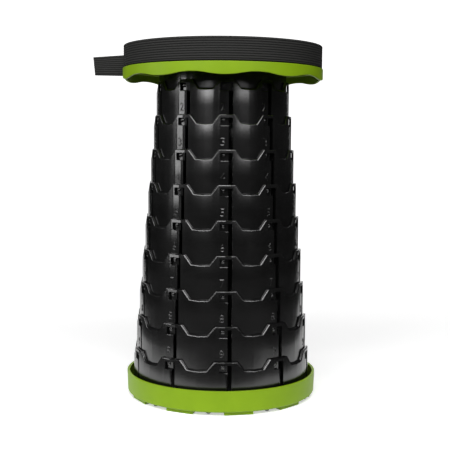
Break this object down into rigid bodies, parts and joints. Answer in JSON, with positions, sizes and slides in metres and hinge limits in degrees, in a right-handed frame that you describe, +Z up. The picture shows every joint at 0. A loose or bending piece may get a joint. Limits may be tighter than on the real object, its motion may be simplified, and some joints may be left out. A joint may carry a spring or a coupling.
{
  "type": "telescopic stool",
  "caption": "Round telescopic stool whose nested, notched rings slide out of a base dish and lock with studs in hooked slots, under a round seat with a strap round its edge.",
  "frame": {"origin": "on the ground under the middle of the base, on the axis of the rings", "axes": "+Z up along the axis of the rings, -Y to the front as pictured, +X to the right"},
  "size_m": [0.3041, 0.2572, 0.45],
  "materials": {
    "ring_plastic": "moulded, satin gloss",
    "green_plastic": "moulded, satin",
    "strap_webbing": "ribbed elastic webbing",
    "keeper_plastic": "moulded, matt",
    "screw_steel": "blackened"
  },
  "bodies": {
    "base": {"base_dish": "green_plastic", "foot_pads": "green_plastic", "base_screws": "screw_steel", "ring_10": "ring_plastic"},
    "tier_09": {"ring_09": "ring_plastic"},
    "tier_08": {"ring_08": "ring_plastic"},
    "tier_07": {"ring_07": "ring_plastic"},
    "tier_06": {"ring_06": "ring_plastic"},
    "tier_05": {"ring_05": "ring_plastic"},
    "tier_04": {"ring_04": "ring_plastic"},
    "tier_03": {"ring_03": "ring_plastic"},
    "tier_02": {"ring_02": "ring_plastic"},
    "seat": {"ring_01": "ring_plastic", "seat_cover": "green_plastic", "seat_shell": "green_plastic", "seat_screws": "screw_steel", "tie_screws": "screw_steel", "carry_strap": "strap_webbing", "strap_keeper": "keeper_plastic"}
  },
  "joints": [
    {"name": "tier_09_slide", "type": "slide", "parent": "base", "child": "tier_09", "axis": [0, 0, 1], "range_m": [-0.0425, 0]},
    {"name": "tier_08_slide", "type": "slide", "parent": "tier_09", "child": "tier_08", "axis": [0, 0, 1], "range_m": [-0.0425, 0]},
    {"name": "tier_07_slide", "type": "slide", "parent": "tier_08", "child": "tier_07", "axis": [0, 0, 1], "range_m": [-0.0425, 0]},
    {"name": "tier_06_slide", "type": "slide", "parent": "tier_07", "child": "tier_06", "axis": [0, 0, 1], "range_m": [-0.0425, 0]},
    {"name": "tier_05_slide", "type": "slide", "parent": "tier_06", "child": "tier_05", "axis": [0, 0, 1], "range_m": [-0.0425, 0]},
    {"name": "tier_04_slide", "type": "slide", "parent": "tier_05", "child": "tier_04", "axis": [0, 0, 1], "range_m": [-0.0425, 0]},
    {"name": "tier_03_slide", "type": "slide", "parent": "tier_04", "child": "tier_03", "axis": [0, 0, 1], "range_m": [-0.0425, 0]},
    {"name": "tier_02_slide", "type": "slide", "parent": "tier_03", "child": "tier_02", "axis": [0, 0, 1], "range_m": [-0.0425, 0]},
    {"name": "seat_slide", "type": "slide", "parent": "tier_02", "child": "seat", "axis": [0, 0, 1], "range_m": [-0.0425, 0]}
  ]
}
